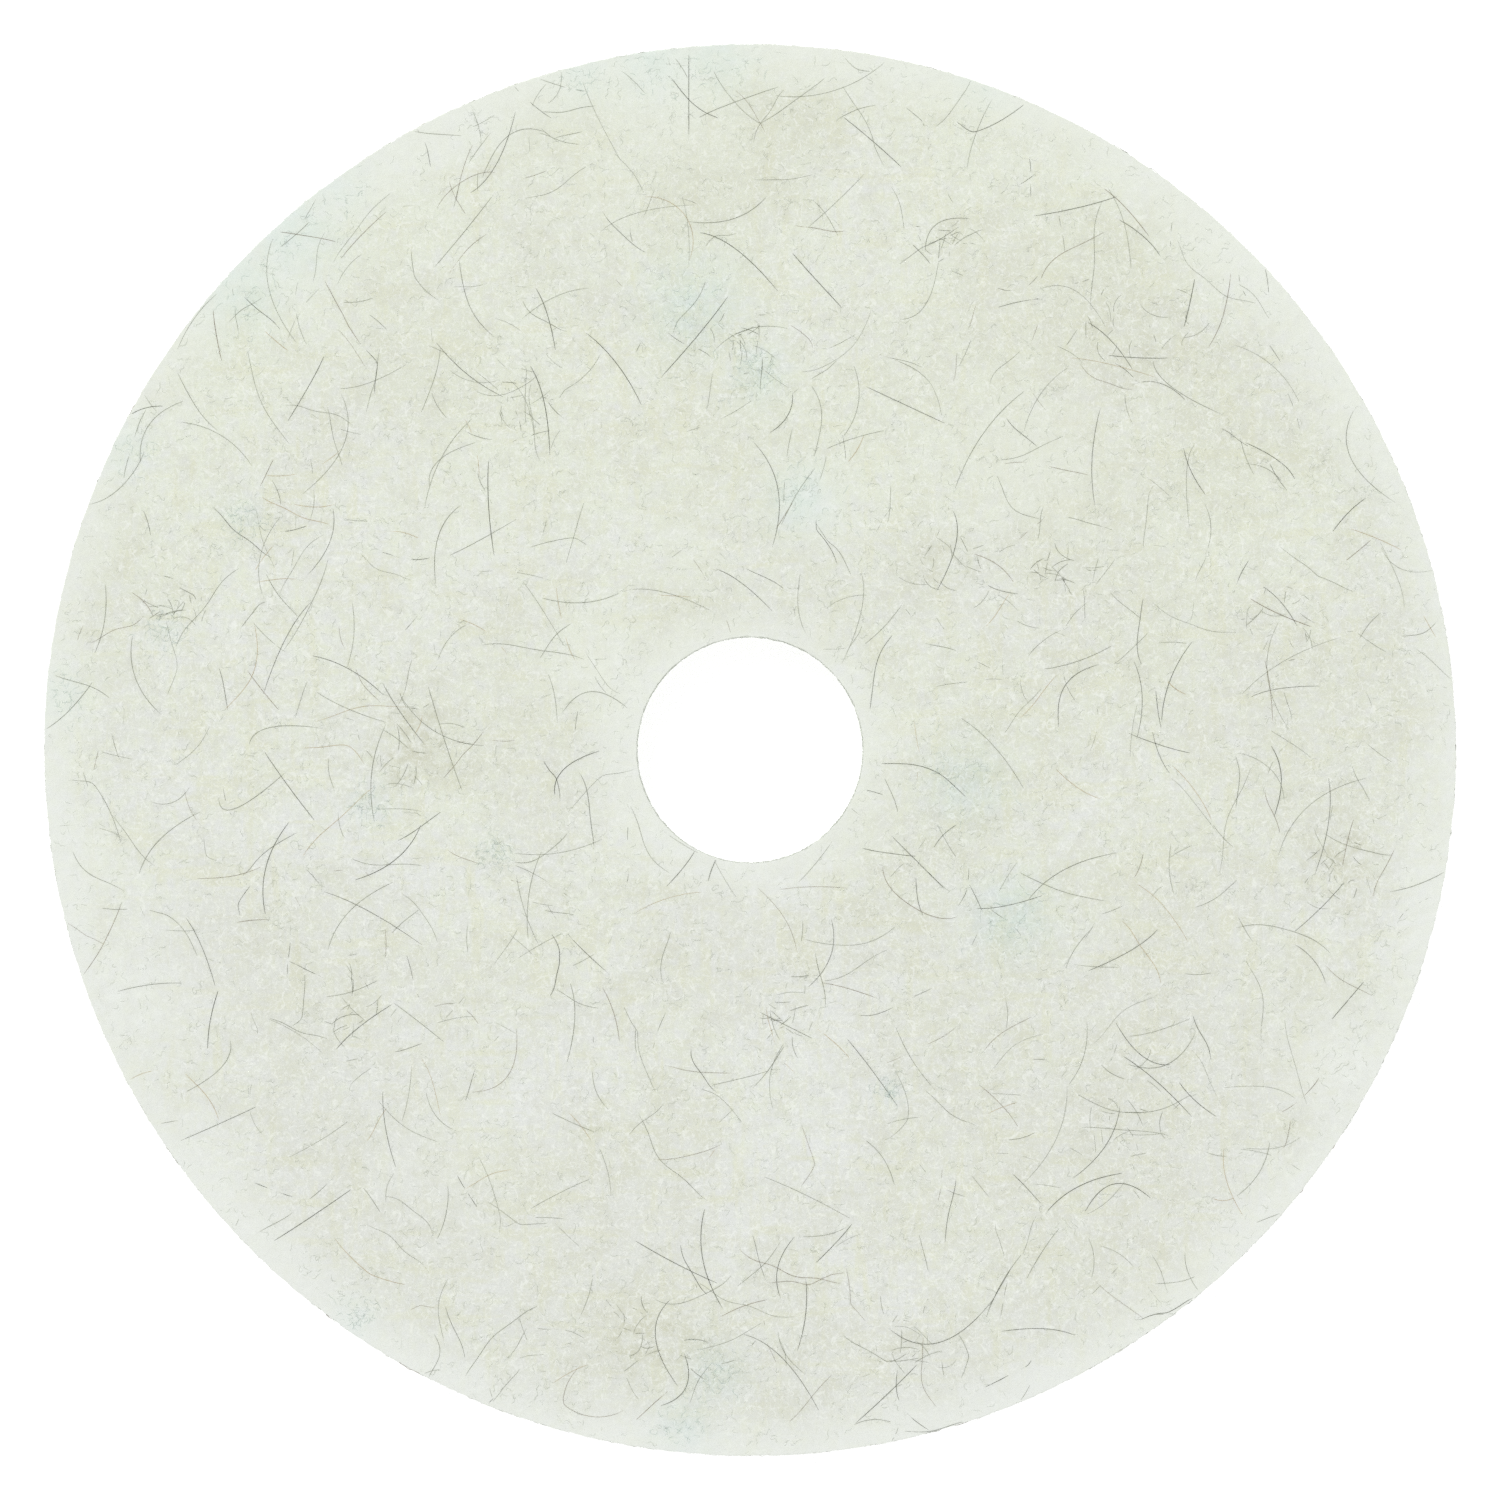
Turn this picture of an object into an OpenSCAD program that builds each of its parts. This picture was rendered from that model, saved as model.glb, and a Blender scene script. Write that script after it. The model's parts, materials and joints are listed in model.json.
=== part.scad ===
// Round floor polishing pad of nonwoven fibre: a stack of bonded web laps with a
// centre hole, and coarse natural hairs lying in both faces and in the cut rim.
// The pad lies flat: z = 0 is its lower face, z = pad_t its upper face, +Z is its spin axis.

/* [Pad] */
// Outside diameter of the pad
pad_d = 508; // [430:1:533]
// Thickness of the pad, face to face
pad_t = 25.4; // [20:0.1:32]
// Diameter of the centre hole
hole_d = 81; // [60:0.5:100]
// Thickness of each face lap, where the resin is richest
face_lap_t = 3.2; // [2:0.1:4.5]

/* [Hairs in the faces] */
// Side of the patch of web that one coarse hair has to itself
hair_patch = 42; // [36:1:60]
// Length of the shortest hair
hair_len_min = 14; // [8:1:18]
// Length of the longest hair
hair_len_max = 32; // [20:1:34]
// Tightest bend radius of a hair
bend_min = 26; // [20:1:40]
// Widest bend radius of a hair
bend_max = 110; // [60:5:160]
// Thickness of a hair, across and deep
hair_t = 0.3; // [0.2:0.05:0.5]

/* [Hairs in the rim] */
// Number of cut hairs in the rim, in each lap
rim_hairs_per_lap = 8; // [4:1:12]
// Longest stretch of rim that a cut hair follows, in degrees
rim_span_max = 5; // [2:0.5:8]

/* [Hidden] */

pad_r = pad_d / 2;
hole_r = hole_d / 2;
core_laps = 4;
core_lap_t = (pad_t - 2 * face_lap_t) / core_laps;
through = 1;                 // how far a cutter runs past the surface it opens
round_fn = 180;              // facets of the big circles
arc_fn = 96;                 // facets of a full circle at a hair's bend

WEB = [0.89, 0.90, 0.85];
CORE = [0.93, 0.94, 0.90];
HAIR_COLOURS = [
    [0.16, 0.17, 0.15], [0.50, 0.53, 0.50], [0.40, 0.31, 0.21], [0.80, 0.62, 0.36], [0.55, 0.72, 0.70]
];
BLACK = 0;
GREY = 1;
BROWN = 2;
TAN = 3;
TEAL = 4;
// share of all face hairs up to and including each colour
COLOUR_STEPS = [0.36, 0.62, 0.80, 0.92, 1.00];

// ---- Where the face hairs lie: one in each patch of a polar grid, so that no two ever cross ----

ring_count = floor((pad_r - hole_r) / hair_patch);
ring_pitch = (pad_r - hole_r) / ring_count;
// slack that a hair's middle may wander from the middle of its patch
wander = (hair_patch - hair_len_max) / 4;
max_hairs = 400;             // more than any pad in range needs

function ring_radius(k) = hole_r + (k + 0.5) * ring_pitch;
function patches_in_ring(k) = floor(2 * PI * ring_radius(k) / hair_patch);
function patches_before(k) = k == 0 ? 0 : patches_before(k - 1) + patches_in_ring(k - 1);
function colour_of(roll) = len([for (s = COLOUR_STEPS) if (roll > s) s]);

// One hair: [x, y, heading, length, bend radius, colour]
function face_hairs(seed) =
    let (
        where = rands(-1, 1, 2 * max_hairs, seed),
        turn = rands(0, 360, max_hairs, seed + 1),
        long = rands(hair_len_min, hair_len_max, max_hairs, seed + 2),
        bend = rands(bend_min, bend_max, max_hairs, seed + 3),
        tint = rands(0, 1, max_hairs, seed + 4)
    )
    [
        for (k = [0 : ring_count - 1])
            for (j = [0 : patches_in_ring(k) - 1])
                let (
                    i = patches_before(k) + j,
                    a = 360 * (j + 0.5 * (k % 2)) / patches_in_ring(k),
                    r = ring_radius(k)
                )
                [
                    r * cos(a) + wander * where[2 * i], r * sin(a) + wander * where[2 * i + 1],
                    turn[i], long[i], bend[i], colour_of(tint[i])
                ]
    ];

top_hairs = face_hairs(11);
bottom_hairs = face_hairs(47);

// A curved bar of the hair's length, its middle at the hair's place, from z = 0 up to height
module hair_bar(hair, height) {
    span = hair[3] / hair[4] * 180 / PI;
    translate([hair[0], hair[1], 0])
        rotate([0, 0, hair[2]])
            translate([-hair[4], 0, 0])
                rotate([0, 0, -span / 2])
                    rotate_extrude(angle = span, $fn = arc_fn)
                        translate([hair[4] - hair_t / 2, 0])
                            square([hair_t, height]);
}

module top_group(colour) {
    color(HAIR_COLOURS[colour])
        translate([0, 0, pad_t - hair_t])
            for (hair = top_hairs) if (hair[5] == colour) hair_bar(hair, hair_t);
}

module bottom_group(colour) {
    color(HAIR_COLOURS[colour])
        for (hair = bottom_hairs) if (hair[5] == colour) hair_bar(hair, hair_t);
}

// ---- Where the rim hairs lie: level rows around the cut edge, a few in each lap ----

lap_count = core_laps + 2;
rim_total = lap_count * rim_hairs_per_lap;
rim_rolls = rands(0, 1, 3 * rim_total, 83);

function lap_floor(n) = n == 0 ? 0 : face_lap_t + (n - 1) * core_lap_t;
function lap_height(n) = n == 0 || n == lap_count - 1 ? face_lap_t : core_lap_t;

// One rim hair: [start angle, span, z]; hair_t clears the face hairs and the joint between laps
function rim_hair(n, j) =
    let (
        i = n * rim_hairs_per_lap + j,
        span = rim_span_max * (0.4 + 0.6 * rim_rolls[3 * i + 1]),
        slot = 360 / rim_hairs_per_lap
    )
    [
        (j + 0.8 * rim_rolls[3 * i]) * slot, span,
        lap_floor(n) + 3 * hair_t + rim_rolls[3 * i + 2] * (lap_height(n) - 7 * hair_t)
    ];

module rim_bar(hair, past = 0) {
    translate([0, 0, hair[2]])
        rotate([0, 0, hair[0]])
            rotate_extrude(angle = hair[1], $fn = round_fn)
                translate([pad_r - hair_t, 0])
                    square([hair_t + past, hair_t]);
}

// Every third rim hair is brown, the others are black
module rim_group(brown) {
    color(HAIR_COLOURS[brown ? BROWN : BLACK])
        for (n = [0 : lap_count - 1])
            for (j = [0 : rim_hairs_per_lap - 1])
                if ((j % 3 == 2) == brown) rim_bar(rim_hair(n, j));
}

// ---- The laps ----

module ring(z, height) {
    translate([0, 0, z])
        difference() {
            cylinder(r = pad_r, h = height, $fn = round_fn);
            translate([0, 0, -through])
                cylinder(r = hole_r, h = height + 2 * through, $fn = round_fn);
        }
}

// Lap n of the stack, counted from the bottom, with the grooves its rim hairs lie in
module lap(n) {
    difference() {
        ring(lap_floor(n), lap_height(n));
        for (j = [0 : rim_hairs_per_lap - 1]) rim_bar(rim_hair(n, j), through);
    }
}

module bottom_face_lap() {
    color(WEB)
        difference() {
            lap(0);
            translate([0, 0, -through])
                for (hair = bottom_hairs) hair_bar(hair, hair_t + through);
        }
}

module core_lap(n) {
    color(CORE) lap(n);
}

module top_face_lap() {
    color(WEB)
        difference() {
            lap(lap_count - 1);
            translate([0, 0, pad_t - hair_t])
                for (hair = top_hairs) hair_bar(hair, hair_t + through);
        }
}

top_face_lap();
core_lap(4);  // core_lap_1
core_lap(3);  // core_lap_2
core_lap(2);  // core_lap_3
core_lap(1);  // core_lap_4
bottom_face_lap();
top_group(BLACK);  // top_black_hairs
top_group(GREY);  // top_grey_hairs
top_group(BROWN);  // top_brown_hairs
top_group(TAN);  // top_tan_hairs
top_group(TEAL);  // top_teal_fibres
bottom_group(BLACK);  // bottom_black_hairs
bottom_group(GREY);  // bottom_grey_hairs
bottom_group(BROWN);  // bottom_brown_hairs
bottom_group(TAN);  // bottom_tan_hairs
bottom_group(TEAL);  // bottom_teal_fibres
rim_group(false);  // rim_black_hairs
rim_group(true);  // rim_brown_hairs
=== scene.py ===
"""Round nonwoven polishing pad: matted white fibre and natural hair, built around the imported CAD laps."""
import json
import math

import bpy
import numpy as np
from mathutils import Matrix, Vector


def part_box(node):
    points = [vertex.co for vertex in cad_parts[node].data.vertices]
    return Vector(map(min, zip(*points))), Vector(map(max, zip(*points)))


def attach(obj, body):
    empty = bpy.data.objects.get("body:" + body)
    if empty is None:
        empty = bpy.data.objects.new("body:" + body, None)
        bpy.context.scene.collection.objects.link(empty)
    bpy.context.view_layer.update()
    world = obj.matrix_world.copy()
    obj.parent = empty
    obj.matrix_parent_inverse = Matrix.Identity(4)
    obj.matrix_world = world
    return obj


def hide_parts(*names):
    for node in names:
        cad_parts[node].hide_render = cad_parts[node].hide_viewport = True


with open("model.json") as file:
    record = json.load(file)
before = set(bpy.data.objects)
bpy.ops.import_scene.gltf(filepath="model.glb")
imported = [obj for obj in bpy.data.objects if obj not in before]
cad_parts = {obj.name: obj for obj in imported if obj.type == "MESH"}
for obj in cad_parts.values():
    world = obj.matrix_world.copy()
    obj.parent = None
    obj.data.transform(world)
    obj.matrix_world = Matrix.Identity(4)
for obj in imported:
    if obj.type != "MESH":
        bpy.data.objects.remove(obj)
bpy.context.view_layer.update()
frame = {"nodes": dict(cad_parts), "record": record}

MM = 0.001
TURN = 2 * math.pi

# ---------------------------------------------------------------- sizes, all from the CAD frame

LAPS = ["bottom_face_lap", "core_lap_4", "core_lap_3", "core_lap_2", "core_lap_1", "top_face_lap"]
PAD_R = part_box("top_face_lap")[1].x
PAD_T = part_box("top_face_lap")[1].z
HOLE_R = next(m["dims"]["r_mm"] for m in frame["record"]["mounts"] if m["name"] == "centre_hole") * MM

FACE_SINK = 0.35 * MM        # how far the web's own surface lies under the faces, so that fibres reach them
WALL_SINK = 0.32 * MM        # the same at the rim and in the hole
FACE_PITCH = 1.50 * MM       # spacing of the points that shape a face
EDGE_ROUND = 0.6 * MM        # how far the die's cut rounds the edges of a face

# ---------------------------------------------------------------- camera, light and floor

FRAME_SHARE = 1413 / 1500    # share of the frame's width that the pad fills
CAMERA_RISE = 6.0            # camera above the upper face, far off, so that the hole's wall hardly shows
SENSOR = 36.0
TENT_LOW, TENT_HIGH = 0.65, 0.85
KEY_POWER, KEY_SIZE = 0.80, 20
KEY_TILT = (-28, -20, 0)
HORIZON = 1.1                # the tent is as white as the floor where they meet
FLOOR_GLOW = 0.46


def link(thing):
    bpy.context.scene.collection.objects.link(thing)
    return thing


def add_camera():
    data = bpy.data.cameras.new("camera")
    data.sensor_width = SENSOR
    data.lens = SENSOR * CAMERA_RISE * FRAME_SHARE / (2 * PAD_R)
    data.clip_end = 100
    camera = link(bpy.data.objects.new("camera", data))
    camera.location = (0, 0, PAD_T + CAMERA_RISE)
    bpy.context.scene.camera = camera


def add_light():
    """A white tent of light, brighter overhead, and one broad soft lamp from the upper left."""
    scene = bpy.context.scene
    scene.view_settings.view_transform = "Standard"
    scene.cycles.use_denoising = False      # it would smear the hairs
    scene.world = bpy.data.worlds.new("tent")
    scene.world.use_nodes = True
    tree = scene.world.node_tree
    where = tree.nodes.new("ShaderNodeTexCoord")
    split = tree.nodes.new("ShaderNodeSeparateXYZ")
    tree.links.new(where.outputs["Generated"], split.inputs[0])
    brightest = tree.nodes.new("ShaderNodeMath")
    brightest.operation = "MAXIMUM"
    ramps = ((0.0, 0.8, TENT_LOW, TENT_HIGH), (0.06, 0.14, HORIZON, 0.0))
    for k, (from_low, from_high, to_low, to_high) in enumerate(ramps):
        ramp = tree.nodes.new("ShaderNodeMapRange")
        ramp.inputs["From Min"].default_value = from_low
        ramp.inputs["From Max"].default_value = from_high
        ramp.inputs["To Min"].default_value = to_low
        ramp.inputs["To Max"].default_value = to_high
        tree.links.new(split.outputs["Z"], ramp.inputs["Value"])
        tree.links.new(ramp.outputs[0], brightest.inputs[k])
    tree.links.new(brightest.outputs[0], tree.nodes["Background"].inputs["Strength"])
    tree.nodes["Background"].inputs["Color"].default_value = (1, 1, 1, 1)
    lamp = bpy.data.lights.new("key", "SUN")
    lamp.energy = KEY_POWER
    lamp.angle = math.radians(KEY_SIZE)
    holder = link(bpy.data.objects.new("key", lamp))
    holder.rotation_euler = [math.radians(a) for a in KEY_TILT]


def add_floor():
    half = 30.0
    mesh = bpy.data.meshes.new("floor")
    corners = [(-half, -half, 0), (half, -half, 0), (half, half, 0), (-half, half, 0)]
    mesh.from_pydata(corners, [], [(0, 1, 2, 3)])
    floor = link(bpy.data.objects.new("floor", mesh))
    material = bpy.data.materials.new("floor")
    material.use_nodes = True
    shader = material.node_tree.nodes["Principled BSDF"]
    shader.inputs["Base Color"].default_value = (0.8, 0.8, 0.8, 1)
    shader.inputs["Roughness"].default_value = 0.9
    shader.inputs["Specular IOR Level"].default_value = 0.0
    shader.inputs["Emission Color"].default_value = (1, 1, 1, 1)
    shader.inputs["Emission Strength"].default_value = FLOOR_GLOW
    mesh.materials.append(material)


# ---------------------------------------------------------------- uneven surfaces

MAP_SIDE = 1024              # points along each side of a relief map
MAP_SPAN = 0.56              # metres that it covers, after which it repeats
TURNS_OF_MAP = 3             # times that a map goes round the rim, so that it closes on itself
WALL_STRETCH = 2.6           # fibres lie level, so the wall's bumps are longer than they are high


def relief_map(seed, bands):
    """A repeating map of bumps. Each band is (wavelength, height), both in metres."""
    draw = np.random.default_rng(seed)
    steps = np.fft.fftfreq(MAP_SIDE, MAP_SPAN / MAP_SIDE)
    pitch = np.hypot(steps[:, None], steps[None, :])
    total = np.zeros((MAP_SIDE, MAP_SIDE))
    for wavelength, height in bands:
        share = np.exp(-(((pitch * wavelength - 1) / 0.45) ** 2))
        field = np.fft.ifft2(np.fft.fft2(draw.standard_normal((MAP_SIDE, MAP_SIDE))) * share).real
        total += height * field / field.std()
    return total


def read_map(values, u, v):
    """The map's height at u, v in metres, between its points and past its ends."""
    x = (u / MAP_SPAN % 1.0) * MAP_SIDE
    y = (v / MAP_SPAN % 1.0) * MAP_SIDE
    i, j = x.astype(int), y.astype(int)
    s, t = x - i, y - j
    i, j = i % MAP_SIDE, j % MAP_SIDE
    after_i, after_j = (i + 1) % MAP_SIDE, (j + 1) % MAP_SIDE
    near = values[i, j] * (1 - s) + values[after_i, j] * s
    far = values[i, after_j] * (1 - s) + values[after_i, after_j] * s
    return near * (1 - t) + far * t


FACE_BANDS = [(4 * MM, 0.07 * MM), (8 * MM, 0.07 * MM), (18 * MM, 0.06 * MM), (60 * MM, 0.07 * MM)]
WALL_BANDS = [(4 * MM, 0.09 * MM), (9 * MM, 0.08 * MM), (30 * MM, 0.06 * MM)]
TOP_MAP = relief_map(1, FACE_BANDS)
BOTTOM_MAP = relief_map(2, FACE_BANDS)
WALL_MAP = relief_map(3, WALL_BANDS)


def edge_drop(r):
    """How far a face falls away at the rim and at the hole."""
    rim = np.clip(1 - (PAD_R - r) / EDGE_ROUND, 0, 1)
    hole = np.clip(1 - (r - HOLE_R) / EDGE_ROUND, 0, 1)
    return 0.5 * EDGE_ROUND * (rim ** 2 + hole ** 2)


def top_height(x, y):
    """Height of the web's upper surface."""
    return PAD_T - FACE_SINK - edge_drop(np.hypot(x, y)) + read_map(TOP_MAP, x, y)


LOWEST_WEB = 0.05 * MM       # the pad's own weight presses it flat on whatever it lies on
LOWEST_FIBRE = 0.08 * MM


def bottom_height(x, y):
    """Height of the web's lower surface."""
    return np.maximum(FACE_SINK + edge_drop(np.hypot(x, y)) + read_map(BOTTOM_MAP, x, y), LOWEST_WEB)


def lap_joints():
    """Heights at which the laps meet."""
    return [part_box(name)[0].z for name in LAPS[1:]]


JOINTS = lap_joints()
PINCH = 0.38 * MM            # how far the wall draws in where two laps meet
PINCH_REACH = 0.9 * MM


def wall_depth(angle, z, map_shift=0.0):
    """How far the wall's surface lies inside the cut, at an angle and a height."""
    bumps = read_map(WALL_MAP, angle / TURN * TURNS_OF_MAP * MAP_SPAN, z * WALL_STRETCH + map_shift)
    near = np.min([np.abs(z - joint) for joint in JOINTS], axis=0)
    return np.maximum(WALL_SINK + bumps + PINCH * np.exp(-((near / PINCH_REACH) ** 2)), 0.05 * MM)


HOLE_SHIFT = 0.2             # where the hole's wall starts on the wall's map


def rim_radius(angle, z):
    return PAD_R - wall_depth(angle, z)


def hole_radius(angle, z):
    return HOLE_R + wall_depth(angle, z, HOLE_SHIFT)


# ---------------------------------------------------------------- mesh building


def mesh_object(name, points, faces):
    """One smooth mesh of triangles, from arrays."""
    mesh = bpy.data.meshes.new(name)
    mesh.vertices.add(len(points))
    mesh.vertices.foreach_set("co", np.asarray(points, np.float32).ravel())
    mesh.loops.add(faces.size)
    mesh.loops.foreach_set("vertex_index", np.asarray(faces, np.int32).ravel())
    mesh.polygons.add(len(faces))
    mesh.polygons.foreach_set("loop_start", np.arange(0, faces.size, 3, dtype=np.int32))
    mesh.polygons.foreach_set("use_smooth", np.ones(len(faces), bool))
    mesh.update(calc_edges=True)
    return link(bpy.data.objects.new(name, mesh))


def zip_rings(first_a, count_a, phase_a, first_b, count_b, phase_b):
    """Triangles between two rings of evenly spaced points, which may differ in number."""
    when_a = (np.arange(count_a) + phase_a) / count_a
    when_b = (np.arange(count_b) + phase_b) / count_b
    order = np.argsort(np.concatenate([when_a, when_b]), kind="stable")
    on_a = order < count_a
    a, b = np.cumsum(on_a) - 1, np.cumsum(~on_a) - 1
    a_now, b_now = first_a + a % count_a, first_b + b % count_b
    a_before, b_before = first_a + (a - on_a) % count_a, first_b + (b - ~on_a) % count_b
    step_on_a = np.stack([a_before, b_now, a_now], 1)
    step_on_b = np.stack([a_now, b_before, b_now], 1)
    return np.where(on_a[:, None], step_on_a, step_on_b)


def ring_solid(name, rings, place):
    """A closed ring. rings is (radius, z, count) in order round its section: out along the top, and back."""
    points, faces = [], []
    counts = [count for _, _, count in rings]
    firsts = np.cumsum([0] + counts)
    phases = 0.5 * (np.cumsum([count != before for count, before in zip(counts, counts[-1:] + counts)]) % 2)
    for k, (r, z, count) in enumerate(rings):
        angle = TURN * (np.arange(count) + phases[k]) / count
        points.append(np.stack([r * np.cos(angle), r * np.sin(angle), np.full(count, z)], 1))
        n = (k + 1) % len(rings)
        faces.append(zip_rings(firsts[k], count, phases[k], firsts[n], counts[n], phases[n]))
    return mesh_object(name, place(np.concatenate(points)), np.concatenate(faces))


def tubes(name, paths, radii, ups, sides=3):
    """One mesh of closed thin tubes. paths is (tubes, points, 3), radii (tubes, points), ups the ways up."""
    count, length, _ = paths.shape
    along = np.gradient(paths, axis=1)
    along /= np.linalg.norm(along, axis=2, keepdims=True) + 1e-12
    across = np.cross(np.broadcast_to(ups, paths.shape), along)
    across /= np.linalg.norm(across, axis=2, keepdims=True) + 1e-12
    over = np.cross(along, across)
    turn = TURN * (np.arange(sides) / sides + 0.25)
    offset = (np.cos(turn)[:, None] * across[:, :, None, :] + np.sin(turn)[:, None] * over[:, :, None, :])
    points = paths[:, :, None, :] + radii[:, :, None, None] * offset
    ring = np.arange(count * length * sides).reshape(count, length, sides)
    here, there = ring[:, :-1], ring[:, 1:]
    here_next, there_next = np.roll(here, -1, axis=2), np.roll(there, -1, axis=2)
    faces = [np.stack([here, here_next, there_next], -1).reshape(-1, 3),
             np.stack([here, there_next, there], -1).reshape(-1, 3)]
    for k in range(1, sides - 1):
        faces.append(ring[:, 0][:, [0, k + 1, k]])
        faces.append(ring[:, -1][:, [0, k, k + 1]])
    return mesh_object(name, points.reshape(-1, 3), np.concatenate(faces))


# ---------------------------------------------------------------- the web's laps


def count_at(r):
    """Points in the ring at r. Rings along an edge have as many as the edge, so that they never cross."""
    for edge in (HOLE_R, PAD_R):
        if abs(r - edge) < 1.5 * EDGE_ROUND:
            r = edge
    return int(round(TURN * r / FACE_PITCH))


def face_radii():
    """Radii of a face's rings, close together over its rounded edges."""
    edge = EDGE_ROUND * np.array([0, 0.12, 0.3, 0.55, 0.8])
    inner, outer = HOLE_R + EDGE_ROUND, PAD_R - EDGE_ROUND
    flat = np.linspace(inner, outer, int((outer - inner) / FACE_PITCH) + 1)
    return np.concatenate([HOLE_R + edge, flat, (PAD_R - edge)[::-1]])


def draw_in_walls(points):
    """Moves the points near the rim and near the hole to the walls' uneven surfaces."""
    x, y, z = points.T
    r, angle = np.hypot(x, y), np.arctan2(y, x)
    blend_reach = 6 * MM
    rim = np.clip(1 - (PAD_R - r) / blend_reach, 0, 1) ** 2
    hole = np.clip(1 - (r - HOLE_R) / blend_reach, 0, 1) ** 2
    r = r - rim * wall_depth(angle, z) + hole * wall_depth(angle, z, HOLE_SHIFT)
    return np.stack([r * np.cos(angle), r * np.sin(angle), z], 1)


def wall_rows(low, high, pitch):
    return np.linspace(low, high, max(2, int(round((high - low) / pitch)) + 1))


def section(low, high, face):
    """Rings round one lap's section. face is 1 for the upper face's lap, -1 for the lower's and 0 inside."""
    rows = wall_rows(low, high, 0.75 * MM)
    flat = [HOLE_R, PAD_R]
    upper = face_radii() if face == 1 else flat
    lower = face_radii() if face == -1 else flat
    rings = [(r, high, count_at(r)) for r in upper]
    rings += [(PAD_R, z, count_at(PAD_R)) for z in rows[1:-1][::-1]]
    rings += [(r, low, count_at(r)) for r in lower[::-1]]
    rings += [(HOLE_R, z, count_at(HOLE_R)) for z in rows[1:-1]]
    return rings


def build_lap(node):
    low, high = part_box(node)[0].z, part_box(node)[1].z
    face = {"top_face_lap": 1, "bottom_face_lap": -1}.get(node, 0)

    def place(points):
        points = draw_in_walls(points)
        x, y, z = points.T
        share = (z - low) / (high - low)
        if face == 1:
            z = low + share * (top_height(x, y) - low)
        if face == -1:
            z = bottom_height(x, y) + share * (high - bottom_height(x, y))
        return np.stack([x, y, z], 1)

    return ring_solid(node.replace("_lap", "_web"), section(low, high, face), place)


# ---------------------------------------------------------------- loose fibres


def curly_paths(draw, count, points, length, bend, crimp, crimp_length):
    """Paths in a plane, each with its middle at 0, 0. The last four arguments are (low, high) ranges."""
    size = draw.uniform(*length, (count, 1))
    s = (np.linspace(0, 1, points)[None, :] - 0.5) * size
    wave = TURN / draw.uniform(*crimp_length, (count, 1))
    heading = (
        draw.uniform(0, TURN, (count, 1))
        + s * draw.uniform(*bend, (count, 1)) * draw.choice([-1, 1], (count, 1))
        + draw.uniform(*crimp, (count, 1)) * np.sin(s * wave + draw.uniform(0, TURN, (count, 1)))
        + 0.5 * np.sin(0.37 * s * wave + draw.uniform(0, TURN, (count, 1)))
    )
    step = size / (points - 1)
    x, y = np.cumsum(step * np.cos(heading), 1), np.cumsum(step * np.sin(heading), 1)
    return x - x.mean(1, keepdims=True), y - y.mean(1, keepdims=True), s


def spread(draw, count, inner=None, outer=None):
    """Points spread evenly over a face."""
    inner, outer = inner or HOLE_R, outer or PAD_R
    r = np.sqrt(draw.uniform(inner ** 2, outer ** 2, (count, 1)))
    angle = draw.uniform(0, TURN, (count, 1))
    return r * np.cos(angle), r * np.sin(angle)


def on_face(x, y, lift, side):
    """Points on the upper face (side 1) or the lower (side -1), lift above or under the web's surface."""
    z = top_height(x, y) + lift if side == 1 else np.maximum(bottom_height(x, y) - lift, LOWEST_FIBRE)
    return np.stack([x, y, z], 2)


def inside_edges(x, y, clear):
    r = np.hypot(x, y)
    return (r.max(1) < PAD_R - clear) & (r.min(1) > HOLE_R + clear)


def tapered(draw, count, points, low, high, tip=0.35):
    """Radii that thin out towards both ends."""
    t = np.linspace(-1, 1, points)[None, :]
    return draw.uniform(low, high, (count, 1)) * (tip + (1 - tip) * (1 - t ** 6))


FACE_FIBRES = 1950           # in each piece
FACE_FIBRE_POINTS = 17


def face_fibres(name, seed, side):
    """Crimped white fibres that dip in and out of a face."""
    draw = np.random.default_rng(seed)
    count = int(FACE_FIBRES * 1.1)
    length, crimp_length = (5 * MM, 12 * MM), (2.5 * MM, 6 * MM)
    x, y, s = curly_paths(draw, count, FACE_FIBRE_POINTS, length, (0, 260), (0.3, 1.3), crimp_length)
    at_x, at_y = spread(draw, count)
    x, y = x + at_x, y + at_y
    keep = np.flatnonzero(inside_edges(x, y, 0.7 * MM))[:FACE_FIBRES]
    x, y, s = x[keep], y[keep], s[keep]
    wave = TURN / draw.uniform(4 * MM, 9 * MM, (len(keep), 1))
    lift = 0.05 * MM + 0.16 * MM * np.sin(s * wave + draw.uniform(0, TURN, (len(keep), 1)))
    radii = tapered(draw, len(keep), FACE_FIBRE_POINTS, 0.045 * MM, 0.075 * MM)
    return tubes(name, on_face(x, y, lift, side), radii, (0.0, 0.0, float(side)))


def wall_point(angle, z, lift, radius, outward):
    """Points on a wall, lift out of its surface."""
    r = radius(angle, z) + outward * lift
    return np.stack([r * np.cos(angle), r * np.sin(angle), z], 2)


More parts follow.
